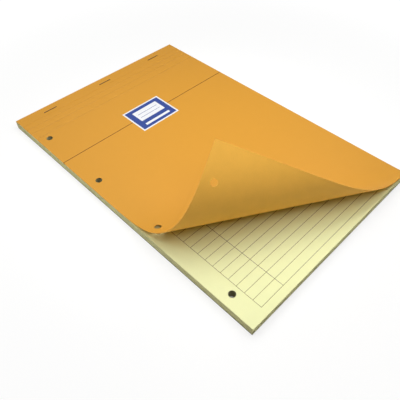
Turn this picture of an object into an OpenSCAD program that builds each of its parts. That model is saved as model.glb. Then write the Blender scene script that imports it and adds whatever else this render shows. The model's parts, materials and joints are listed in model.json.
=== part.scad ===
// A head-stapled notepad with yellow ruled sheets, a grey board at the back and a
// one-piece orange card cover. The card is folded round the head, stapled through,
// scored so that it opens like a book's cover, and its near left corner is curled up.
// X runs across the sheets, Y towards the stapled head and Z up, off the table.

/* [Sheets and board] */
// Width of the sheets, the board and the cover
pad_w = 210; // [160:1:300]
// Length of the sheets, from foot to head
sheet_l = 315; // [240:1:420]
// Length of the strip at the head that stays bound when a sheet is torn off
bound_strip = 18; // [14:0.5:30]
// Height of the stack of sheets
stack_t = 7.6; // [4:0.2:16]
// Thickness of the board under the sheets
board_t = 0.8; // [0.5:0.1:2]
// Thickness of the cover card
card_t = 0.3; // [0.2:0.05:0.5]

/* [Cover at the head] */
// Distance from the head to the score line where the cover opens
hinge_from_head = 13.5; // [12:0.5:18]
// Distances from the head to the other score lines
score_from_head = [21, 29, 39]; // [20:1:60]
// Width of a score line
score_w = 0.9; // [0.4:0.1:1.5]
// Depth of a score line
score_depth = 0.12; // [0.05:0.01:0.15]
// Gap between the leaf and the stapled strip in the score line where they part
hinge_gap = 0.2; // [0.1:0.05:0.5]
// How far the card runs onto the back of the pad
rear_flap = 20; // [14:1:40]

/* [Staples] */
// Diameter of the staple wire
wire_d = 0.6; // [0.4:0.05:0.8]
// Length of a staple's crown, outside to outside
crown_l = 15; // [11:0.5:20]
// Length of each clinched leg on the back
clinch_l = 5; // [3:0.5:5]
// Distance from the head to the line of staples
staple_from_head = 8.6; // [6:0.2:10]
// Distance from one staple's middle to the next
staple_pitch = 70; // [30:1:72]
// Room left all round the wire
wire_clear = 0.1; // [0.05:0.01:0.2]
// Height of the crown above the card, and of the clinched legs above the table
wire_lift = 0.05; // [0.02:0.01:0.1]

/* [Punched holes] */
// Diameter of the filing holes
punch_d = 6; // [4:0.5:8]
// Distance from the left edge to the middle of the holes
punch_from_edge = 10; // [7:0.5:14]
// Distance from one hole to the next
punch_pitch = 80; // [40:1:85]

/* [Curled corner] */
// How far from the foot, up the left edge, the card starts to leave the sheets
bend_start = 159.5; // [140:0.5:200]
// X of the point, off the pad, where the curl's straight lines would all meet
apex_x = 605; // [560:1:700]
// Y of that point
apex_y = -249; // [-290:1:-230]
// Angle at that point between the first bent line and the last
bend_span = 10.6; // [8.5:0.1:11]
// Angle that the card turns through from the sheets to its tip
bend_turn = 125; // [60:1:150]
// Share of the bend over which its curvature builds up, and again dies away
bend_ease = 0.33; // [0.1:0.01:0.5]

/* [Hidden] */
$fn = 48;

// Levels and lengths that the pieces share
page_top = board_t + stack_t;
card_top = page_top + card_t;
hinge_y = sheet_l - hinge_from_head;
leaf_l = hinge_y - hinge_gap / 2;
tear_off_l = sheet_l - bound_strip;
// What a cut runs past the face that it starts from
past = 1;
// Four filing holes, spread evenly about the middle of a torn-off sheet
punch_y = [for (i = [-1.5:1:1.5]) tear_off_l / 2 + i * punch_pitch];
// Staples: one in the middle and one to each side of it
staple_y = sheet_l - staple_from_head;
staple_sides = [-1, 0, 1];
leg_x = (crown_l - wire_d) / 2;
wire_bend_r = 0.75 * wire_d;
// The curl: cells along the bend, and steps in the sum that gives a line's direction
bend_cells = 60;
bend_steps = 40;
first_line = atan2(bend_start - apex_y, -apex_x);

// Moves a piece from the sheets' near left corner to the middle of the pad's footprint
module in_frame() {
    translate([-pad_w / 2, -(sheet_l + card_t) / 2, 0]) children();
}

// A flat outline in Y and Z, drawn out across the whole width
module across(width, start = 0) {
    translate([start, 0, 0]) rotate([90, 0, 90]) linear_extrude(width) children();
}

// The filing holes, through everything that lies flat
module punched_holes() {
    for (y = punch_y)
        translate([punch_from_edge, y, -past]) cylinder(d = punch_d, h = card_top + 2 * past);
}

// The room that a staple takes in the stack: a hole for each leg and a groove for the clinched ends
module staple_room() {
    room = wire_d + 2 * wire_clear;
    for (side = staple_sides, leg = [-1, 1])
        translate([pad_w / 2 + side * staple_pitch + leg * leg_x, staple_y, 0]) {
            translate([0, 0, -past]) cylinder(d = room, h = card_top + 2 * past);
            translate([leg < 0 ? 0 : -clinch_l - wire_clear, -room / 2, -past])
                cube([clinch_l + wire_clear, room, past + wire_lift + wire_d + wire_clear / 2]);
        }
}

module page_block() {
    color("#fbfac8")
    in_frame() difference() {
        translate([0, 0, board_t]) cube([pad_w, sheet_l, stack_t]);
        punched_holes();
        staple_room();
    }
}

// The board is pressed thinner at the head, where the card lies over it
module backing_board() {
    color("#9a978f")
    in_frame() difference() {
        cube([pad_w, sheet_l, board_t]);
        translate([-past, sheet_l - rear_flap, -past]) cube([pad_w + 2 * past, rear_flap + past, past + card_t]);
        punched_holes();
        staple_room();
    }
}

// The stapled part of the card: over the sheets, round the head and onto the back
module head_outline() {
    difference() {
        union() {
            translate([hinge_y + hinge_gap / 2, page_top]) square([hinge_from_head - hinge_gap / 2, card_t]);
            translate([sheet_l, card_t]) square([card_t, page_top - card_t]);
            translate([sheet_l - rear_flap, 0]) square([rear_flap, card_t]);
            for (z = [card_t, page_top]) translate([sheet_l, z]) circle(r = card_t);
        }
        translate([sheet_l - past, card_t]) square([past, page_top - card_t]);
    }
}

module cover_head() {
    color("#e09a3a")
    in_frame() difference() {
        across(pad_w) head_outline();
        staple_room();
    }
}

// Turning about an axis by an angle, as a 3 by 3 matrix
function cross_matrix(a) = [[0, -a.z, a.y], [a.z, 0, -a.x], [-a.y, a.x, 0]];
function turn(axis, angle) =
    let (k = cross_matrix(axis / norm(axis)))
    [[1, 0, 0], [0, 1, 0], [0, 0, 1]] + sin(angle) * k + (1 - cos(angle)) * k * k;

// The curl is part of a cone: every line of it stays straight and passes through the apex.
// How sharply the card turns at an angle past the first bent line, level but for two ramps
function sharpness(angle) =
    let (share = angle / bend_span, ramp = min(share, 1 - share) / bend_ease)
    bend_turn / bend_span / (1 - bend_ease) * max(0, min(1, ramp));

// Along a line, across it and off the card, for the line at an angle past the first one:
// in each small step the three turn together, by the step itself and by the card's bend
function frame_at(angle, step = 0, frame = [[1, 0, 0], [0, 1, 0], [0, 0, 1]]) =
    step == bend_steps ? frame :
    let (size = angle / bend_steps, bend = sharpness((step + 0.5) * size))
    frame_at(angle, step + 1, frame * turn([bend, 0, 1], size * sqrt(1 + bend * bend)));

// The same frame in the pad's directions
function card_frame(angle) = turn([0, 0, 1], first_line) * frame_at(angle);

// The angle past the first bent line at which a point of the flat card lies
function line_angle(p) = atan2(p.y - apex_y, p.x - apex_x) - first_line;

// Where a point of the flat card goes, at a height above the card's back
function on_card(p, height = 0) =
    let (angle = line_angle(p))
    angle <= 0 ? [p.x, p.y, page_top + height] :
    let (frame = card_frame(angle))
    [apex_x, apex_y, page_top] + frame * [norm(p - [apex_x, apex_y]), 0, height];

// The ends of a line on the flat card, at its left edge and at its foot or right edge
function left_end(angle) = [0, apex_y - apex_x * tan(first_line + angle)];
function other_end(angle) =
    let (y = apex_y + (pad_w - apex_x) * tan(first_line + angle))
    y > 0 ? [pad_w, y] : [apex_x - apex_y / tan(first_line + angle), 0];

// The lines that part the bend into cells: one meets the foot's right corner, the last is the tip
tip_angle = line_angle([0, 0]);
corner_angle = line_angle([pad_w, 0]);
first_cells = corner_angle > 0 ? ceil(bend_cells * corner_angle / tip_angle) : 0;
line_angles = concat(
    [for (i = [0:1:first_cells - 1]) corner_angle * i / first_cells],
    let (from = max(0, corner_angle), cells = bend_cells - first_cells)
    [for (i = [0:cells - 1]) from + (tip_angle - from) * i / cells]);
lines = len(line_angles);

// The flat card's outline: down the left edge, round the curled corner and back up the right
leaf_outline = concat(
    [[0, leaf_l]],
    [for (angle = line_angles) left_end(angle)],
    [[0, 0]],
    [for (i = [lines - 1:-1:0]) other_end(line_angles[i])],
    corner_angle > 0 ? [] : [[pad_w, 0]],
    [[pad_w, leaf_l]]);

// The curled leaf as one closed shell: a front and a back skin of flat cells, and the cut edge
module curled_card() {
    count = len(leaf_outline);
    function left(i) = 1 + i;
    function other(i) = 2 * lines + 1 - i;
    skin = concat(
        [[0, left(0), for (i = [other(0):count - 1]) i]],
        [for (i = [0:lines - 2]) [left(i), left(i + 1), other(i + 1), other(i)]],
        [[left(lines - 1), left(lines), other(lines - 1)]]);
    polyhedron(
        points = [for (height = [card_t, 0], p = leaf_outline) on_card(p, height)],
        faces = concat(
            [for (face = skin) [for (i = [len(face) - 1:-1:0]) face[i]]],
            [for (face = skin) [for (i = face) i + count]],
            [for (i = [0:count - 1]) let (next = (i + 1) % count) [i, next, next + count, i + count]]),
        convexity = 6);
}

// A cut through the card at a point of the flat card, square to it wherever it has gone
module punch_through_card(p) {
    angle = max(0, line_angle(p));
    frame = card_frame(angle) * turn([0, 0, 1], -first_line - angle);
    at = on_card(p);
    multmatrix([for (i = [0:2]) concat(frame[i], at[i])])
        translate([0, 0, -past]) cylinder(d = punch_d, h = card_t + 2 * past);
}

// A score line pressed into the front of the card, across its whole width
module score_line(y) {
    run_out = score_w * past / score_depth;
    across(pad_w + 2 * past, -past)
        translate([y, card_top])
            polygon([[0, -score_depth], [score_w / 2 + run_out / 2, past], [-score_w / 2 - run_out / 2, past]]);
}

module cover_leaf() {
    color("#df9b3e")
    in_frame() difference() {
        curled_card();
        for (y = punch_y) punch_through_card([punch_from_edge, y]);
        for (from_head = score_from_head) score_line(sheet_l - from_head);
    }
}

// A quarter bend of the wire, from the leg's direction towards the staple's middle
module wire_bend() {
    rotate([90, 0, 0]) rotate_extrude(angle = 90) translate([wire_bend_r, 0]) circle(d = wire_d);
}

// Half of a staple: half the crown, a leg down through the stack and its clinched end
module half_staple() {
    crown_z = card_top + wire_lift + wire_d / 2;
    clinch_z = wire_lift + wire_d / 2;
    bend_x = leg_x - wire_bend_r;
    translate([0, 0, crown_z]) rotate([0, 90, 0]) cylinder(d = wire_d, h = bend_x);
    translate([bend_x, 0, crown_z - wire_bend_r]) wire_bend();
    translate([leg_x, 0, clinch_z + wire_bend_r]) cylinder(d = wire_d, h = crown_z - clinch_z - 2 * wire_bend_r);
    translate([bend_x, 0, clinch_z + wire_bend_r]) mirror([0, 0, 1]) wire_bend();
    translate([leg_x - clinch_l, 0, clinch_z]) rotate([0, 90, 0]) cylinder(d = wire_d, h = clinch_l - wire_bend_r);
}

module staple(side) {
    color("#6f6a62")
    in_frame() translate([pad_w / 2 + side * staple_pitch, staple_y, 0]) {
        half_staple();
        mirror([1, 0, 0]) half_staple();
    }
}

page_block();
backing_board();
cover_leaf();
cover_head();
staple(staple_sides[0]);  // staple_left
staple(staple_sides[1]);  // staple_middle
staple(staple_sides[2]);  // staple_right
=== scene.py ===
# %% [markdown]
# # A writing pad with a curled cover
#
# The real object is a pad of 80 yellow ruled sheets. A thin grey board backs them, one orange
# card is folded round their head and covers them, and three staples hold it all together.
# The near left corner of the cover has been lifted and curls back over the pad, so that the
# top sheet shows.
#
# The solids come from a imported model, where each piece already has its real size and place.
# Here they get their looks. Pieces whose solid has the right shape, such as the board, keep it
# and get a better material. The cover and the sheets are built again as finer meshes, which
# sit where their solids are.

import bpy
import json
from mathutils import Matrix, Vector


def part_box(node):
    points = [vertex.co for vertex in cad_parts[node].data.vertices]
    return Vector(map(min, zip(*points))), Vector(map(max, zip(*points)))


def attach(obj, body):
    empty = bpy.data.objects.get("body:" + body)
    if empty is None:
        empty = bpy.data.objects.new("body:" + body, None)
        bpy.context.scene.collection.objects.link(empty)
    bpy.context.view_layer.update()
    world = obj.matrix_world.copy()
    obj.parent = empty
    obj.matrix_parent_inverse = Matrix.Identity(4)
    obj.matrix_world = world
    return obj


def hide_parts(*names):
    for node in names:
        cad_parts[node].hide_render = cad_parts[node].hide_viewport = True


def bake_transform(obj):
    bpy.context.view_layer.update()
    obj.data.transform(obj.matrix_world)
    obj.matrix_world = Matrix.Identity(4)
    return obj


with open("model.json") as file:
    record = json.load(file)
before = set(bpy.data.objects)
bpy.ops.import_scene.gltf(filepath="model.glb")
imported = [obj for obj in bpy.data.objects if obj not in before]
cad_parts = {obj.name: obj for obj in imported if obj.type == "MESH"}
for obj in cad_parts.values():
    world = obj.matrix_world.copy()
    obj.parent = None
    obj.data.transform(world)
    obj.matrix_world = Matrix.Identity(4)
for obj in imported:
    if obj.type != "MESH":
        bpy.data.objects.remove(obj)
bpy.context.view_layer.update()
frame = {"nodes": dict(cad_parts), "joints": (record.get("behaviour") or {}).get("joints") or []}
print("packed nodes:", ", ".join(sorted(frame["nodes"])))

# %% [markdown]
# # Sizes
#
# A stationer measures a pad in millimetres from its corner, and Blender works in metres from
# the middle of the frame. Both are kept: the lengths below are in millimetres, and the pad's
# own are measured from the near left corner of its sheets and up from the table. One small
# function turns a whole array of such points into the frame's metres. The camera and the lamps
# are placed from the middle of the frame instead.
# The main sizes are read from the solids and never typed again, so the fine meshes can't drift
# away from the pieces that they stand for. What no solid's box tells, such as where the holes
# are or how the cover curls, is named again where it is first needed.

# %% Read the main sizes from the solids
import json
import math

import bmesh
import bpy
import numpy as np
from mathutils import Matrix, Quaternion, Vector

MM = 0.001
sheets_low, sheets_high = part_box("page_block")
head_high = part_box("cover_head")[1]
leaf_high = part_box("cover_leaf")[1]
hinge = frame["joints"][0]


def in_mm(length):
    """A length in metres, as millimetres to the nearest hundredth."""
    return round(length / MM, 2)


pad_w = in_mm(sheets_high.x - sheets_low.x)
sheet_l = in_mm(sheets_high.y - sheets_low.y)
page_top = in_mm(sheets_high.z)
board_t = in_mm(sheets_low.z)
card_t = in_mm(head_high.z - sheets_high.z)
leaf_l = in_mm(leaf_high.y - sheets_low.y)
hinge_y = in_mm(hinge["pos_m"][1] - sheets_low.y)
print("sheets", pad_w, "x", sheet_l, "mm, top at", page_top, "mm, card", card_t, "mm")
print("the cover opens at", hinge_y, "mm from the foot")


# %% From pad millimetres to the frame's metres
def in_frame(points):
    """Pad millimetres, as an array with a row for each point, in the frame's metres."""
    return np.asarray(points, float) * MM + (sheets_low.x, sheets_low.y, 0)


print("near left corner of the sheets in the frame:", in_frame([[0, 0, 0]]).round(4).tolist())

# %% [markdown]
# # The camera
#
# The picture was taken close to the pad, from above its near left corner, with a slightly wide
# lens: that is why the near corner looks so large. A camera in Blender is an object with a
# place, and a direction that is easiest to give by a point that it looks at. A quaternion
# turns the camera to that point, and a second small one rolls it about its own line of sight.

# %% Place the camera
camera_place = Vector((-222.4, -225.5, 293.0)) * MM
camera_aim = Vector((-42.7, -43.9, 0)) * MM
camera_roll = math.radians(-0.28)

camera = bpy.data.objects.new("camera", bpy.data.cameras.new("camera"))
bpy.context.scene.collection.objects.link(camera)
bpy.context.scene.camera = camera
camera.data.sensor_width = 36
camera.data.lens = 39.8
camera.data.clip_start = 0.01
camera.location = camera_place
aimed = (camera_aim - camera_place).to_track_quat("-Z", "Y")
camera.rotation_euler = (aimed @ Quaternion((0, 0, 1), camera_roll)).to_euler()
print("camera", round((camera_aim - camera_place).length / MM), "mm from the point it looks at")

# %% [markdown]
# # Light
#
# The pad is lit as in a studio, by six small softboxes that hang close over it. Their light
# leaves no hard edge in the shade under the curled card. They all shine from above, so that
# little of it gets in there, where the photo is darkest, and the key light hangs over the near
# corner of the sheets, which is the brightest part of the picture.
# The world has two jobs, so its shader asks Light Path what each ray is for. A ray from the
# camera, or one seen in metal, gets plain white. Every other ray gets a low level, which only
# lifts the deepest shade. The background can then be white without flooding the pad with light.

# %% Make the surround
surround_level = 0.01

world = bpy.data.worlds.new("studio")
bpy.context.scene.world = world
world.use_nodes = True


def calculate(tree, operation, first, second=0):
    """The result of a Math node. The second input is a number or another node's output."""
    node = tree.nodes.new("ShaderNodeMath")
    node.operation = operation
    tree.links.new(first, node.inputs[0])
    if isinstance(second, (int, float)):
        node.inputs[1].default_value = second
    else:
        tree.links.new(second, node.inputs[1])
    return node.outputs[0]


def white_if_seen(tree):
    """1 for a ray that the camera sees, straight on or in metal or glass, and 0 for light."""
    rays = tree.nodes.new("ShaderNodeLightPath").outputs
    seen = calculate(tree, "MAXIMUM", rays["Is Camera Ray"], rays["Is Glossy Ray"])
    return calculate(tree, "MAXIMUM", seen, rays["Is Transmission Ray"])


level = world.node_tree.nodes.new("ShaderNodeMapRange")
level.inputs["To Min"].default_value = surround_level
level.inputs["To Max"].default_value = 1
surround = world.node_tree.nodes["Background"]
surround.inputs["Color"].default_value = (1, 1, 1, 1)
world.node_tree.links.new(white_if_seen(world.node_tree), level.inputs["Value"])
world.node_tree.links.new(level.outputs["Result"], surround.inputs["Strength"])
print("surround lights the pad at", surround_level)


# %% Hang the soft lamps
def softbox(name, place, size, power):
    """Hangs a square lamp of a size in mm at a place in mm from the pad's middle, aimed at it."""
    lamp = bpy.data.objects.new(name, bpy.data.lights.new(name, "AREA"))
    bpy.context.scene.collection.objects.link(lamp)
    lamp.data.size = size * MM
    lamp.data.energy = power
    lamp.location = Vector(place) * MM
    lamp.rotation_euler = (-lamp.location).to_track_quat("-Z", "Y").to_euler()
    print(name, "at", place, "mm,", power, "W")


softbox("key_softbox", (-120, -200, 300), 100, 0.2)
softbox("foot_softbox", (60, -200, 300), 120, 0.25)
softbox("left_softbox", (-250, 100, 350), 200, 0.5)
softbox("middle_softbox", (0, 0, 350), 200, 0.57)
softbox("right_softbox", (220, -50, 330), 200, 0.46)
softbox("head_softbox", (20, 300, 400), 300, 0.6)

# %% [markdown]
# # The floor
#
# The pad lies on a wide pale floor that runs on into the white surround. To the camera the
# floor is part glow and part plain white surface. The glow brings it up to pure white, and the
# plain part still takes the pad's soft shadow. For the light that bounces off it the floor is
# only a plain white surface, so it adds no light of its own. There is no glow under the pad
# either: the filing holes go right through, and the floor must look dark down there. Away from
# the pad the lamps' light fades, and the glow makes up for it by taking over.

# %% Where the floor glows
floor_glow = 0.7
glow_strength = 1.06
glow_fades_in = (200, 420)
pad_inset = 4


def glow_share(tree):
    """How much of the floor's look is glow: none for light that bounces, and none under the pad."""
    place = tree.nodes.new("ShaderNodeTexCoord").outputs["Object"]
    parts = tree.nodes.new("ShaderNodeSeparateXYZ")
    tree.links.new(place, parts.inputs[0])
    beyond = []
    for side, length in (("X", pad_w), ("Y", sheet_l)):
        from_middle = calculate(tree, "ABSOLUTE", parts.outputs[side])
        inside_edge = (length / 2 - pad_inset) * MM
        beyond.append(calculate(tree, "GREATER_THAN", from_middle, inside_edge))
    outside = calculate(tree, "MAXIMUM", *beyond)
    away = tree.nodes.new("ShaderNodeVectorMath")
    away.operation = "LENGTH"
    tree.links.new(place, away.inputs[0])
    rise = tree.nodes.new("ShaderNodeMapRange")
    rise.inputs["From Min"].default_value = glow_fades_in[0] * MM
    rise.inputs["From Max"].default_value = glow_fades_in[1] * MM
    rise.inputs["To Min"].default_value = floor_glow
    tree.links.new(away.outputs["Value"], rise.inputs["Value"])
    seen = calculate(tree, "MULTIPLY", white_if_seen(tree), outside)
    return calculate(tree, "MULTIPLY", seen, rise.outputs["Result"])


print("the floor glows from", pad_inset, "mm inside the pad's outline outwards")

# %% Lay the floor
floor_half = 3000
floor_white = (0.86, 0.86, 0.85, 1)
floor_gap = 0.02

mesh = bpy.data.meshes.new("floor")
bm = bmesh.new()
bmesh.ops.create_grid(bm, x_segments=8, y_segments=8, size=floor_half * MM)
bm.to_mesh(mesh)
bm.free()
floor = bpy.data.objects.new("floor", mesh)
bpy.context.scene.collection.objects.link(floor)
floor.location.z = -floor_gap * MM

floor_finish = bpy.data.materials.new("studio_floor")
floor_finish.use_nodes = True
tree = floor_finish.node_tree
plain = tree.nodes["Principled BSDF"]
plain.inputs["Base Color"].default_value = floor_white
plain.inputs["Roughness"].default_value = 0.9
plain.inputs["Specular IOR Level"].default_value = 0
glow = tree.nodes.new("ShaderNodeEmission")
glow.inputs["Strength"].default_value = glow_strength
blend = tree.nodes.new("ShaderNodeMixShader")
tree.links.new(glow_share(tree), blend.inputs["Fac"])
tree.links.new(plain.outputs[0], blend.inputs[1])
tree.links.new(glow.outputs[0], blend.inputs[2])
tree.links.new(blend.outputs[0], tree.nodes["Material Output"].inputs["Surface"])
floor.data.materials.append(floor_finish)
print("floor", 2 * floor_half, "mm wide,", floor_gap, "mm below the pad")

# %% [markdown]
# # Colour management
#
# The Standard view shows a colour as it is written. The default view, made for film-like
# pictures, would wash out the orange.

# %% Choose the view
bpy.context.scene.view_settings.view_transform = "Standard"
print("view", bpy.context.scene.view_settings.view_transform)

# %% [markdown]
# # Helpers for the finishes
#
# Paper, card, board and wire are all worked out from noise, with no picture. Noise at the size
# of a fibre gives the surface its grain, and noise at the size of a fingertip gives the faint
# clouds that all paper has when light falls across it. The helpers below build those few steps,
# and each finish then reads like a recipe: a colour, what varies it, and how deep its grain is.
# The noise is placed by Object coordinates, which stay with the piece when it moves.


# %% Start a finish
def new_finish(name, roughness, specular, metallic=0.0):
    """A material with its shader's plain values set."""
    finish = bpy.data.materials.new(name)
    finish.use_nodes = True
    shader = finish.node_tree.nodes["Principled BSDF"]
    shader.inputs["Roughness"].default_value = roughness
    shader.inputs["Specular IOR Level"].default_value = specular
    shader.inputs["Metallic"].default_value = metallic
    return finish


def add_node(finish, kind, links=None, **values):
    """A new node, its settings and values set by name, and its inputs linked to other outputs."""
    node = finish.node_tree.nodes.new(kind)
    for name, value in values.items():
        if hasattr(node, name):
            setattr(node, name, value)
        else:
            node.inputs[name.replace("_", " ").title()].default_value = value
    for name, source in (links or {}).items():
        finish.node_tree.links.new(source, node.inputs[name])
    return node


print("helpers to start a finish:", new_finish.__name__, "and", add_node.__name__)


# %% Noise of a real size
def noise(finish, size, detail=2.0, stretch=(1, 1, 1)):
    """Noise whose lumps are about size mm across, or longer along an axis by its stretch."""
    place = add_node(finish, "ShaderNodeTexCoord").outputs["Object"]
    scale = [1 / (size * MM * along) for along in stretch]
    sized = add_node(finish, "ShaderNodeMapping", {"Vector": place}, Scale=scale).outputs[0]
    lumps = add_node(finish, "ShaderNodeTexNoise", {"Vector": sized}, Scale=1, Detail=detail)
    return lumps.outputs["Fac"]


def spread(finish, source, low, high, start=0.3, end=0.7):
    """Stretches the middle of a noise to run from low to high."""
    node = add_node(
        finish,
        "ShaderNodeMapRange",
        {"Value": source},
        From_Min=start,
        From_Max=end,
        To_Min=low,
        To_Max=high,
    )
    return node.outputs["Result"]


print("helpers to vary it:", noise.__name__, "and", spread.__name__)


# %% Colour, grain and gloss from noise
def vary_colour(finish, colour, *shades):
    """The shader's colour, times each of the shades, which are outputs that run about 1."""
    total = shades[0]
    for shade in shades[1:]:
        total = calculate(finish.node_tree, "MULTIPLY", total, shade)
    tinted = add_node(finish, "ShaderNodeVectorMath", {"Scale": total}, operation="SCALE")
    tinted.inputs[0].default_value = colour
    shader = finish.node_tree.nodes["Principled BSDF"]
    finish.node_tree.links.new(tinted.outputs["Vector"], shader.inputs["Base Color"])


def add_relief(finish, source, depth):
    """Raises the surface by up to depth mm where the noise is high."""
    shader = finish.node_tree.nodes["Principled BSDF"]
    bump = add_node(finish, "ShaderNodeBump", {"Height": source}, Strength=1, Distance=depth * MM)
    finish.node_tree.links.new(bump.outputs["Normal"], shader.inputs["Normal"])


def vary_gloss(finish, source, low, high):
    """Lets the roughness run from low to high with the noise."""
    shader = finish.node_tree.nodes["Principled BSDF"]
    finish.node_tree.links.new(spread(finish, source, low, high), shader.inputs["Roughness"])


print("helpers for the shader:", vary_colour.__name__, add_relief.__name__, vary_gloss.__name__)

# %% [markdown]
# # Orange card
#
# The cover is card of about 0.3 mm, dyed orange right through and pressed smooth on its front.
# The front takes a faint, wide sheen. The reverse is less pressed, a little yellower and shows
# more fibre, and its colour is far paler than the front's: partly the card's own, partly painted
# light on the curled corner. Where the card is cut, its fibres stand open and look a little
# paler, and where it is scored, they are pressed tight, darker and shinier.
# One recipe serves all four, with its own colour, grain and gloss for each.

# %% Mix the card finishes
grain_size = 0.16
card_sheen = 0.18


def card_finish(name, colour, roughness, grain_depth, mottle):
    """Dyed card: soft clouds, fine fibres and a grain of the given depth in mm."""
    finish = new_finish(name, roughness, card_sheen)
    clouds = noise(finish, 9, 3)
    fibres = noise(finish, 0.35, 3, stretch=(1, 2.5, 1))
    grain = noise(finish, grain_size, 2)
    vary_colour(
        finish,
        colour,
        spread(finish, clouds, 1 - mottle, 1 + mottle),
        spread(finish, fibres, 1 - 1.6 * mottle, 1 + 1.6 * mottle),
    )
    add_relief(finish, grain, grain_depth)
    vary_gloss(finish, fibres, roughness - 0.06, roughness + 0.08)
    return finish


card_front = card_finish("card_front", (0.59, 0.277, 0.0303), 0.5, 0.003, 0.006)
# The reverse is far paler than the front: partly its own colour, partly painted light on the curl
card_reverse_painted_light = card_finish("card_reverse_painted_light", (0.92, 0.485, 0.073), 0.66, 0.012, 0.02)
card_cut = card_finish("card_cut_edge", (0.84, 0.47, 0.1), 0.85, 0.02, 0.05)
card_scored = card_finish("card_pressed_in_score", (0.54, 0.253, 0.0277), 0.42, 0.003, 0.006)
print("card finishes:", card_front.name, card_reverse_painted_light.name, card_cut.name, card_scored.name)

# %% [markdown]
# # Printing inks
#
# The cover is printed with one thin brown rule and a label in white and blue. Ink on paper is a
# film far thinner than any mesh, so it is not built as a shape. The faces that it covers are
# cut to its outline and given the ink's own finish, which keeps its edges sharp at any
# distance. The paper's grain still shows through, because the ink lies in it.

# %% Mix the inks
ink_sheen = 0.18
ink_grain_depth = 0.005


def ink_finish(name, colour, roughness=0.5):
    """Ink over paper: an even colour that the fibres below break up a little."""
    finish = new_finish(name, roughness, ink_sheen)
    vary_colour(
        finish,
        colour,
        spread(finish, noise(finish, 0.3, 3), 0.96, 1.04),
        spread(finish, noise(finish, 5, 2), 0.985, 1.015),
    )
    add_relief(finish, noise(finish, grain_size, 2), ink_grain_depth)
    return finish


rule_ink = ink_finish("brown_rule_ink", (0.17, 0.065, 0.004))
label_white = ink_finish("white_label_ink", (0.74, 0.75, 0.77))
label_blue = ink_finish("blue_label_ink", (0.026, 0.055, 0.24))
ruling_ink = ink_finish("grey_ruling_ink", (0.24, 0.21, 0.07), 0.8)
margin_ink = ink_finish("dark_margin_ink", (0.14, 0.11, 0.05), 0.8)
print("inks ready")

# %% [markdown]
# # Yellow paper
#
# The sheets are uncoated writing paper, so they have almost no gloss. Seen flat they are a
# light lemon yellow with faint clouds and fibres. Seen at the cut edge of the stack each sheet
# is a line of its own, some a shade darker, and the guillotine has left fine upright marks.
# Stepping the height by the thickness of a sheet gives each one its own shade.
# The filing holes are drilled. Their walls get the same recipe in a much darker colour, which
# is painted shade inside the holes.

# %% Mix the paper finishes
sheet_count = 80
sheet_t = (page_top - board_t) / sheet_count
paper_colour = (0.855, 0.875, 0.485)

paper = new_finish("yellow_paper", 0.88, 0.2)
paper_fibres = noise(paper, 0.3, 3, stretch=(1, 2, 1))
vary_colour(
    paper,
    paper_colour,
    spread(paper, noise(paper, 7, 3), 0.988, 1.012),
    spread(paper, paper_fibres, 0.98, 1.02),
)
add_relief(paper, paper_fibres, 0.01)
print("each sheet is", round(sheet_t, 3), "mm thick")


# %% Mix the finishes of the cut and the drilled sheets
def cut_finish(name, colour):
    """The edges of many sheets: a shade for each sheet, and upright marks from the blade."""
    finish = new_finish(name, 0.95, 0.1)
    place = add_node(finish, "ShaderNodeTexCoord").outputs["Object"]
    height = add_node(finish, "ShaderNodeSeparateXYZ", {"Vector": place}).outputs["Z"]
    sheets_below = calculate(finish.node_tree, "DIVIDE", height, sheet_t * MM)
    number = calculate(finish.node_tree, "FLOOR", sheets_below)
    shade = add_node(finish, "ShaderNodeTexWhiteNoise", {"W": number}, noise_dimensions="1D")
    blade_marks = noise(finish, 0.5, 4, stretch=(1, 1, 8))
    vary_colour(
        finish,
        colour,
        spread(finish, shade.outputs["Value"], 0.88, 1.06, 0, 1),
        spread(finish, blade_marks, 0.9, 1.08),
    )
    add_relief(finish, blade_marks, 0.03)
    return finish


paper_cut = cut_finish("paper_cut_edge", (0.82, 0.79, 0.44))
# The dark colour of the hole walls is painted shade inside the holes
hole_wall_painted_shade = cut_finish("drilled_hole_wall_painted_shade", (0.36, 0.34, 0.2))
print("paper finishes:", paper.name, paper_cut.name, hole_wall_painted_shade.name)

# %% [markdown]
# # Grey board
#
# The board is pressed from waste paper, so it is a warm grey full of darker and paler fibres
# and specks. A noise with long lumps gives the fibres, and cells of Voronoi give the specks:
# only the middle of each cell is dark, and most cells are left out.

# %% Mix the board
board = new_finish("pressed_grey_board", 0.92, 0.15)
board_fibres = noise(board, 0.5, 5, stretch=(1, 3, 1))
board_place = add_node(board, "ShaderNodeTexCoord").outputs["Object"]
speck_size = 1.4
speck_scale = 1 / (speck_size * MM)
specks = add_node(board, "ShaderNodeTexVoronoi", {"Vector": board_place}, Scale=speck_scale)
vary_colour(
    board,
    (0.36, 0.34, 0.28),
    spread(board, board_fibres, 0.88, 1.12),
    spread(board, noise(board, 12, 3), 0.95, 1.05),
    spread(board, specks.outputs["Distance"], 0.72, 1, 0.08, 0.16),
)
add_relief(board, board_fibres, 0.04)
print("board finish:", board.name)

# %% [markdown]
# # Staple wire
#
# Stitching wire is drawn steel, dull, with fine lines along its length. The shader is fully
# metallic, and its colour is painted almost black, far darker than bare steel: painted shade on
# the thin wire. The lines change how brightly and how sharply it shines.

# %% Mix the wire
wire = new_finish("drawn_wire_painted_shade", 0.38, 0.5, metallic=1.0)
drawn_lines = noise(wire, 0.06, 3, stretch=(12, 1, 1))
# The near-black colour is painted shade on the thin wire
vary_colour(wire, (0.06, 0.05, 0.04), spread(wire, drawn_lines, 0.82, 1.1))
add_relief(wire, drawn_lines, 0.004)
vary_gloss(wire, drawn_lines, 0.28, 0.5)
print("wire finish:", wire.name)

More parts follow.
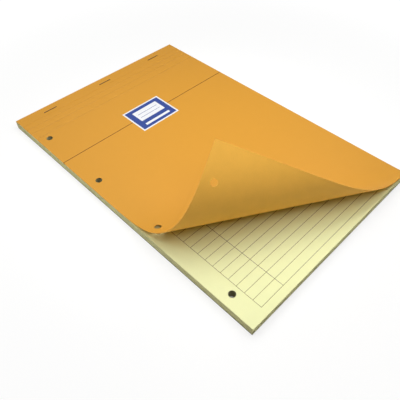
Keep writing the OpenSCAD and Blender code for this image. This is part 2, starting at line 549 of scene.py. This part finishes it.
# %% [markdown]
# # A flat sheet, cut and punched
#
# The card and the sheets start flat, as they do in a print shop: a rectangle, cut to size, with
# four filing holes down its left side. A mesh that will bend needs even, four-sided cells, and
# a round hole doesn't fit such a grid. So a square window is left out of the grid round each
# hole, and two rings of cells fill it, which start square at its rim and end round.
# The grid is also cut along every edge of the printing, so that each inked field is made of
# whole cells.

# %% Where the holes are
hole_d = 6
hole_x = 10
hole_pitch = 80
bound_strip = 18
tear_off_l = sheet_l - bound_strip
holes = [(hole_x, tear_off_l / 2 + i * hole_pitch) for i in (-1.5, -0.5, 0.5, 1.5)]
window = 8
print("filing holes at", holes)

# %% Cut positions along one side
cell_slack = 0.001


def cut_positions(length, cell, marks):
    """Cuts from 0 to a length: one at each mark, and even ones between, at most a cell apart."""
    stops = sorted({0.0, float(length)} | {round(mark, 4) for mark in marks if 0 < mark < length})
    cuts = [stops[0]]
    for start, end in zip(stops, stops[1:]):
        count = max(1, math.ceil((end - start) / cell - cell_slack))
        cuts += [start + (end - start) * k / count for k in range(1, count + 1)]
    return cuts


def window_marks(middle, cells):
    """The cuts through a hole's window, which has so many cells on a side."""
    return [middle + window * (k / cells - 0.5) for k in range(cells + 1)]


print("cuts across a strip of 10 with a mark at 3:", cut_positions(10, 4, [3]))


# %% From a square window to a round hole
def window_rim(hole, cells):
    """The points round a hole's window, anticlockwise from its near left corner."""
    steps = [window * k / cells for k in range(cells)]
    x, y = hole[0] - window / 2, hole[1] - window / 2
    near = [(x + step, y) for step in steps]
    right = [(x + window, y + step) for step in steps]
    far = [(x + window - step, y + window) for step in steps]
    left = [(x, y + window - step) for step in steps]
    return near + right + far + left


def towards_hole(point, hole, share):
    """A point moved by a share of its way from the window's rim to the edge of the round hole."""
    away = Vector(point) - Vector(hole)
    return tuple(Vector(hole) + away.lerp(away.normalized() * hole_d / 2, share))


print("a window of 2 cells on a side has a rim of", len(window_rim(holes[0], 2)), "points")

# %% The punched sheet
ring_shares = (0.55, 1.0)


def punched_sheet(length, cell, x_marks, y_marks, window_cells):
    """A flat sheet with the filing holes: its points, an (n, 2) array in mm, and its faces."""
    in_window = [mark for x, y in holes for mark in window_marks(y, window_cells)]
    xs = cut_positions(pad_w, cell, [*x_marks, *window_marks(hole_x, window_cells)])
    ys = cut_positions(length, cell, [*y_marks, *in_window])
    points, faces, corners = [], [], {}

    def corner(x, y):
        key = (round(x, 4), round(y, 4))
        if key not in corners:
            corners[key] = len(points)
            points.append(key)
        return corners[key]

    def punched_out(x, y):
        return any(abs(x - hx) < window / 2 and abs(y - hy) < window / 2 for hx, hy in holes)

    for x0, x1 in zip(xs, xs[1:]):
        for y0, y1 in zip(ys, ys[1:]):
            if not punched_out((x0 + x1) / 2, (y0 + y1) / 2):
                faces.append([corner(x0, y0), corner(x1, y0), corner(x1, y1), corner(x0, y1)])
    for hole in holes:
        rim = window_rim(hole, window_cells)
        ring = [corner(*point) for point in rim]
        for share in ring_shares:
            inner = [len(points) + k for k in range(len(rim))]
            points += [towards_hole(point, hole, share) for point in rim]
            for k in range(len(rim)):
                after = (k + 1) % len(rim)
                faces.append([ring[k], ring[after], inner[after], inner[k]])
            ring = inner
    return np.array(points, float), faces


test_cell = 40
coarse_hole_cells = 6
test_points, test_faces = punched_sheet(leaf_l, test_cell, [], [], coarse_hole_cells)
print("a coarse punched sheet has", len(test_points), "points and", len(test_faces), "faces")

# %% [markdown]
# # From a flat sheet to a solid one
#
# Card and paper have a thickness, and their cut edge shows. The flat mesh becomes the front
# skin, a copy of it with its faces turned over becomes the back skin, and a wall of faces joins
# the two wherever the flat mesh ends. An edge that only one face runs along, in one direction,
# is such an end, so outer edges and holes are found by the same rule.


# %% Find the rim and add the second skin
def rim_edges(faces):
    """The directed edges that only one face has."""
    edges = {(a, b) for face in faces for a, b in zip(face, face[1:] + face[:1])}
    return sorted((a, b) for a, b in edges if (b, a) not in edges)


def two_skins(faces, count):
    """A closed sheet's faces: front, back, whose points come count later, and walls."""
    back = [[point + count for point in reversed(face)] for face in faces]
    walls = [[b, a, a + count, b + count] for a, b in rim_edges(faces)]
    return faces + back + walls


print("a coarse punched sheet has", len(rim_edges(test_faces)), "edges along its rims")


# %% Build a piece from arrays
def build_piece(name, points, faces, finishes, finish_of_face, smooth_below=30):
    """A mesh object from pad millimetres. Edges sharper than smooth_below degrees stay sharp."""
    mesh = bpy.data.meshes.new(name)
    mesh.from_pydata(in_frame(points).tolist(), [], faces)
    for finish in finishes:
        mesh.materials.append(finish)
    mesh.polygons.foreach_set("material_index", finish_of_face)
    mesh.shade_smooth()
    mesh.set_sharp_from_angle(angle=math.radians(smooth_below))
    piece = bpy.data.objects.new(name, mesh)
    bpy.context.scene.collection.objects.link(piece)
    mesh.calc_loop_triangles()
    print(name, "has", len(mesh.loop_triangles), "triangles")
    return piece


print("every piece goes through", build_piece.__name__)

# %% [markdown]
# # Print fields
#
# A field is a rectangle and the ink that covers it. Fields are listed from the bottom up, as a
# printer lays them down, and each cell takes the ink of the last field that its middle lies in.


# %% Give each face the ink of its field
def ink_numbers(points, faces, fields):
    """For each flat face, the number of the finish of the last field over its middle, or else 0."""
    middles = np.array([points[face].mean(axis=0) for face in faces])
    numbers = np.zeros(len(faces), int)
    for number, x0, x1, y0, y1 in fields:
        inside = (middles > (x0, y0)).all(axis=1) & (middles < (x1, y1)).all(axis=1)
        numbers[inside] = number
    return numbers


def field_marks(fields):
    """The cuts that the fields' edges need: across the sheet and along it."""
    return [x for f in fields for x in f[1:3]], [y for f in fields for y in f[3:5]]


print("a field from 1 to 3 across and 2 to 6 along needs cuts at", field_marks([(1, 1, 3, 2, 6)]))

# %% [markdown]
# # What is printed on the cover
#
# A thin brown rule runs across the card, and a label lies on it, as on a school pad: a white
# border, a blue field, a white panel with two lines to write a name on and a white bar below.
# The label is plain and stands for no maker.

# %% Lay out the cover's print
# Each finish of the cover by its place in the mesh's list, where the plain front comes first
RULE, WHITE, BLUE, SCORED, REVERSE, CUT = range(1, 7)
rule_y = 229.5
rule_w = 0.85
label_x = (82.3, 128.5)
label_y = (211.1, 246.7)
label_border = 1.6
panel_x = (90.3, 121.3)
panel_y = (224.7, 240.7)
panel_lines_y = (229.7, 235.0)
panel_line_w = 0.5
panel_line_inset = 3
foot_bar_y = (216.5, 219.5)


def band(number, x, y_middle, width):
    """A thin field along x, of a width about its middle."""
    return (number, x[0], x[1], y_middle - width / 2, y_middle + width / 2)


def inset(ends, by):
    """The two ends of a side, each moved inwards."""
    return (ends[0] + by, ends[1] - by)


panel_line_x = inset(panel_x, panel_line_inset)
cover_fields = [
    band(RULE, (0, pad_w), rule_y, rule_w),
    (WHITE, *label_x, *label_y),
    (BLUE, *inset(label_x, label_border), *inset(label_y, label_border)),
    (WHITE, *panel_x, *panel_y),
    *[band(BLUE, panel_line_x, y, panel_line_w) for y in panel_lines_y],
    (WHITE, *panel_x, *foot_bar_y),
]
print("label", round(label_x[1] - label_x[0], 1), "x", round(label_y[1] - label_y[0], 1), "mm")

# %% [markdown]
# # Score lines
#
# Card is scored before it is folded: a blunt steel rule presses a groove across it. Besides
# the line where the cover opens there are three more, so that the cover can fold back without
# cracking. Each is a groove with a soft cosine section, less than half the card deep, and it
# wears the finish of pressed card.

# %% The depth of a score line
score_from_head = (21, 29, 39)
scores_y = [sheet_l - from_head for from_head in score_from_head]
score_w = 0.9
score_depth = 0.12
score_cuts = 6


def groove(y):
    """How deep the card's front lies below its level at each distance from the foot."""
    depth = np.zeros(len(y))
    for score in scores_y:
        share = np.clip(np.abs(y - score) / (score_w / 2), 0, 1)
        depth += score_depth * (1 + np.cos(share * math.pi)) / 2
    return depth


score_marks = [
    score + score_w * (k / score_cuts - 0.5)
    for score in scores_y
    for k in range(score_cuts + 1)
]
print("score lines at", scores_y, "mm, deepest", groove(np.array(scores_y)).max(), "mm")

# %% [markdown]
# # The curl
#
# Card bends but doesn't stretch, so a curled corner is always part of a cone or a cylinder:
# straight lines run through it, and along them the card isn't bent at all. Here those lines
# all meet in one point, the apex, far off to the right of the pad, which makes the curl a cone
# that is tighter near the foot and wider at the left edge.
# A cloth simulation could find such a shape, but it would never be this even, nor the same as
# the solid's. The formula is short. A line of the flat card is named by its angle at the apex.
# From each line to the next the card turns twice at once: about its own normal by the step in
# that angle, and about the line itself by its bend. Adding those small turns up gives the
# direction of every line, and the normal of the card along it.

# %% How sharply the card bends
bend_start = 159.5
apex = np.array([605.0, -249.0])
bend_span = math.radians(10.6)
bend_turn = math.radians(125)
bend_ease = 0.33
first_line = math.atan2(bend_start - apex[1], -apex[0])
tip_angle = math.atan2(-apex[1], -apex[0]) - first_line


def sharpness(angle):
    """The card's turn for each turn of the line at an angle past the first bent line."""
    share = angle / bend_span
    ramp = min(share, 1 - share) / bend_ease
    return bend_turn / bend_span / (1 - bend_ease) * max(0, min(1, ramp))


print("the bend's lines fan out over", round(math.degrees(tip_angle), 2), "degrees up to the tip")

# %% Add up the small turns
bend_steps = 600
step = tip_angle / bend_steps
turned = Matrix.Rotation(first_line, 3, "Z")
along_lines = [turned.col[0].copy()]
off_card = [turned.col[2].copy()]
for k in range(bend_steps):
    bend = sharpness((k + 0.5) * step)
    turned = turned @ Matrix.Rotation(step * math.hypot(bend, 1), 3, Vector((bend, 0, 1)))
    along_lines.append(turned.col[0].copy())
    off_card.append(turned.col[2].copy())
along_lines = np.array(along_lines)
off_card = np.array(off_card)
print("the tip faces", [round(c, 2) for c in off_card[-1]])


# %% Curl a flat sheet
def curl(flat, height):
    """Where points of the flat card go. height is how far each lies off the card's back."""
    placed = np.column_stack([flat, page_top + height])
    reach = flat - apex
    angle = np.arctan2(reach[:, 1], reach[:, 0]) - first_line
    bent = angle > 0
    line = np.clip(angle[bent] / step, 0, bend_steps)
    before = np.minimum(line.astype(int), bend_steps - 1)
    share = (line - before)[:, None]
    direction = along_lines[before] * (1 - share) + along_lines[before + 1] * share
    normal = off_card[before] * (1 - share) + off_card[before + 1] * share
    length = np.hypot(reach[bent, 0], reach[bent, 1])[:, None]
    start = np.array([apex[0], apex[1], page_top])
    placed[bent] = start + direction * length + normal * height[bent][:, None]
    return placed


tip = curl(np.array([[0.0, 0.0]]), np.array([card_t]))[0]
print("the corner's tip goes to", tip.round(1).tolist(), "mm")
print("the curl of the solid reaches up to", in_mm(leaf_high.z), "mm")

# %% [markdown]
# # The cover
#
# Now the pieces above come together. The flat card is cut into cells of 2 mm, small enough to
# look round where it curls, then given its two skins, and every point is sent through the
# curl. It rides on the body that the hinge moves, and stands for the plainer solid leaf.

# %% Build the curled cover
card_cell = 2.0
hole_cells = 10
x_marks, y_marks = field_marks(cover_fields)
flat, flat_faces = punched_sheet(leaf_l, card_cell, x_marks, y_marks + score_marks, hole_cells)
front = curl(flat, card_t - groove(flat[:, 1]))
back = curl(flat, np.zeros(len(flat)))
cover_faces = two_skins(flat_faces, len(flat))

pressed = [band(SCORED, (0, pad_w), score, score_w) for score in scores_y]
front_numbers = ink_numbers(flat, flat_faces, pressed + cover_fields)
wall_count = len(cover_faces) - 2 * len(flat_faces)
cover_numbers = [*front_numbers, *[REVERSE] * len(flat_faces), *[CUT] * wall_count]
cover = build_piece(
    "curled_cover",
    np.vstack([front, back]),
    cover_faces,
    [card_front, rule_ink, label_white, label_blue, card_scored, card_reverse_painted_light, card_cut],
    cover_numbers,
)
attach(cover, "cover")
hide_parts("cover_leaf")

# %% [markdown]
# # The fold at the hinge
#
# The real cover is one card, and it folds where its first score line is. The model parts it
# there into a leaf that swings and a strip that stays stapled. A narrow band of card lies in
# the bottom of that score line, and its ends reach into both parts. It is built flat.

# %% Build the fold
fold_reach = 0.7
fold_cuts = 12
fold_inset = 0.1
fold_columns = 30
fold_top = card_t - score_depth
fold_gap = 0.03
ys = np.linspace(hinge_y - fold_reach, hinge_y + fold_reach, fold_cuts + 1)
xs = np.linspace(fold_inset, pad_w - fold_inset, fold_columns)
flat = np.array([(x, y) for x in xs for y in ys])
rows = len(ys)
flat_faces = [
    [i * rows + j, (i + 1) * rows + j, (i + 1) * rows + j + 1, i * rows + j + 1]
    for i in range(len(xs) - 1)
    for j in range(fold_cuts)
]
front = np.column_stack([flat, np.full(len(flat), page_top + fold_top)])
back = np.column_stack([flat, np.full(len(flat), page_top + fold_gap)])
fold_faces = two_skins(flat_faces, len(flat))
fold = build_piece(
    "cover_fold",
    np.vstack([front, back]),
    fold_faces,
    [card_front],
    [0] * len(fold_faces),
)
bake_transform(fold)

# %% [markdown]
# # The stack of sheets
#
# Eighty loose sheets are cut together, so their edges nearly line up, but never quite. Each
# sheet is built as its own thin step in the side of the stack: it is shifted by a few
# hundredths of a millimetre, and a fine groove parts it from the next. The grooves catch
# shade, and that is why the side of a pad looks darker than its top although it is the same
# paper. Only the rims of the sheets are built, with one flat cap at the bottom and one at the
# top, because the faces between two sheets can't be seen.

# %% Set the sheets out
sheet_slack = 0.07
groove_in = 0.09
edge_share = 0.15
shift_seed = 7
random_shift = np.random.default_rng(shift_seed)
stack_cell = 30
stack_points, stack_faces = punched_sheet(sheet_l, stack_cell, [], [], coarse_hole_cells)
rim = rim_edges(stack_faces)
rim_points = sorted({point for edge in rim for point in edge})
place_in_rim = {point: k for k, point in enumerate(rim_points)}
print("each sheet's rim has", len(rim_points), "points")

# %% The way into the paper at the rim
at_edge = 0.01


def inward(point):
    """The direction into the paper from a point on the sheet's outer edge or round a hole."""
    across, along = [
        (place < at_edge) - (place > length - at_edge)
        for place, length in zip(point, (pad_w, sheet_l))
    ]
    if across or along:
        return Vector((across, along))
    nearest = min(holes, key=lambda hole: math.dist(hole, point))
    return (Vector(point) - Vector(nearest)).normalized()


rim_flat = stack_points[rim_points]
rim_inward = np.array([inward(point) for point in rim_flat.tolist()])
print("ways into the paper worked out for", len(rim_inward), "points")

# %% Build the stack
lower_sheets = sheet_count - 1
levels = []
for number in range(lower_sheets):
    shift = random_shift.uniform(-1, 1, 2) * sheet_slack / 2
    edge = rim_flat + rim_inward * sheet_slack + shift
    for share, depth in ((0, groove_in), (edge_share, 0), (1 - edge_share, 0)):
        z = board_t + (number + share) * sheet_t
        levels.append(np.column_stack([edge + rim_inward * depth, np.full(len(edge), z)]))
levels.append(levels[-1] + (0, 0, edge_share * sheet_t))

per_level = len(rim_points)
walls = []
for k in range(len(levels) - 1):
    low = k * per_level
    high = low + per_level
    for a, b in rim:
        start, end = place_in_rim[a], place_in_rim[b]
        walls.append([low + start, low + end, high + end, high + start])
# The walls of the holes take the finish with painted shade
CUT_WALL, DRILLED_WALL = 1, 2
in_a_hole = [any(math.dist(stack_points[a], hole) < hole_d for hole in holes) for a, b in rim]
wall_numbers = [DRILLED_WALL if drilled else CUT_WALL for drilled in in_a_hole] * (len(levels) - 1)
print(len(levels), "levels and", len(walls), "wall faces")

# %% Close the stack
inner_points = [point for point in range(len(stack_points)) if point not in place_in_rim]
place_in_cap = {point: k for k, point in enumerate(inner_points)}
wall_points = len(levels) * per_level


def cap(level_number, cap_number, turned_over):
    """The flat faces across the stack at its lowest or its highest level."""
    def place(point):
        if point in place_in_rim:
            return level_number * per_level + place_in_rim[point]
        return wall_points + cap_number * len(inner_points) + place_in_cap[point]

    flat_cap = [[place(point) for point in face] for face in stack_faces]
    return [face[::-1] for face in flat_cap] if turned_over else flat_cap


cap_faces = cap(0, 0, True) + cap(len(levels) - 1, 1, False)
cap_levels = (board_t, levels[-1][0, 2])
cap_points = [
    np.column_stack([stack_points[inner_points], np.full(len(inner_points), z)])
    for z in cap_levels
]
stack = build_piece(
    "sheet_stack",
    np.vstack(levels + cap_points),
    walls + cap_faces,
    [paper, paper_cut, hole_wall_painted_shade],
    wall_numbers + [0] * len(cap_faces),
    smooth_below=20,
)
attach(stack, "pad")
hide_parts("page_block")

# %% [markdown]
# # The top sheet
#
# The top sheet is the one that is seen, so it is a piece of its own, with its ruling printed
# on it. Rows lie 8 mm apart, between a thin frame line at the left and one at the right, and a
# darker margin line crosses them. The rows go on under the cover, towards the head.
# A line of fine slits marks where a sheet tears off, just below the bound strip. The slits are
# not cut. The line is a narrow field of its own, and its finish goes dark and pale by turns along
# it: each dark dash is painted shade in a slit.

# %% Lay out the ruling
# Each finish of the top sheet by its place in the mesh's list, where the plain paper comes first
RULING, MARGIN, SLIT, PAPER_CUT = range(1, 5)
row_pitch = 8
first_row = 6.9
row_count = 34
frame_x = (16.9, 203)
margin_x = 41.7
line_w = 0.36
margin_w = 0.36
last_row = first_row + (row_count - 1) * row_pitch


def upright(number, x_middle, width):
    """A thin field along y, of a width about its middle, from the first row to the last."""
    x0, x1 = x_middle - width / 2, x_middle + width / 2
    return (number, x0, x1, first_row - line_w / 2, last_row + line_w / 2)


ruling = [band(RULING, frame_x, first_row + i * row_pitch, line_w) for i in range(row_count)]
ruling += [upright(RULING, x, line_w) for x in frame_x]
ruling += [upright(MARGIN, margin_x, margin_w)]
print(row_count, "rows, the last", last_row, "mm from the foot")

# %% Mark the tear-off line
slit_pitch = 2.5
slit_share = 0.6
slit_w = 0.2
tear_off = new_finish("tear_off_slits_painted_shade", 0.9, ink_sheen)
sheet_place = add_node(tear_off, "ShaderNodeTexCoord").outputs["Object"]
across_sheet = add_node(tear_off, "ShaderNodeSeparateXYZ", {"Vector": sheet_place}).outputs["X"]
pitches = calculate(tear_off.node_tree, "DIVIDE", across_sheet, slit_pitch * MM)
part_of_pitch = calculate(tear_off.node_tree, "FRACT", pitches)
painted_slit_shade = calculate(tear_off.node_tree, "LESS_THAN", part_of_pitch, slit_share)
# Each slit is painted as a dash of shade, a quarter as bright as the paper
vary_colour(tear_off, paper_colour, spread(tear_off, painted_slit_shade, 1, 0.25, 0, 1))
add_relief(tear_off, noise(tear_off, grain_size, 2), ink_grain_depth)
ruling.append(band(SLIT, (0, pad_w), tear_off_l, slit_w))
print("tear-off line at", tear_off_l, "mm from the foot")

# %% Build the top sheet
paper_cell = 15
x_marks, y_marks = field_marks(ruling)
flat, flat_faces = punched_sheet(sheet_l, paper_cell, x_marks, y_marks, hole_cells)
front = np.column_stack([flat, np.full(len(flat), page_top)])
back = np.column_stack([flat, np.full(len(flat), page_top - sheet_t)])
top_faces = two_skins(flat_faces, len(flat))
wall_count = len(top_faces) - 2 * len(flat_faces)
top_numbers = [
    *ink_numbers(flat, flat_faces, ruling),
    *[0] * len(flat_faces),
    *[PAPER_CUT] * wall_count,
]
top_sheet = build_piece(
    "top_sheet",
    np.vstack([front, back]),
    top_faces,
    [paper, ruling_ink, margin_ink, tear_off, paper_cut],
    top_numbers,
)
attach(top_sheet, "pad")

# %% [markdown]
# # The pieces that keep their solids
#
# The board, the stapled strip of card at the head and the three staples already have their true
# shape, down to the bends of the wire. Only their finish changes: each material slot of their
# objects gets one of the finishes above.

# %% Dress the carried-over pieces
dressed = {
    "backing_board": board,
    "cover_head": card_front,
    "staple_left": wire,
    "staple_middle": wire,
    "staple_right": wire,
}
for node, finish in dressed.items():
    for slot in frame["nodes"][node].material_slots:
        slot.material = finish
    print(node, "wears", finish.name)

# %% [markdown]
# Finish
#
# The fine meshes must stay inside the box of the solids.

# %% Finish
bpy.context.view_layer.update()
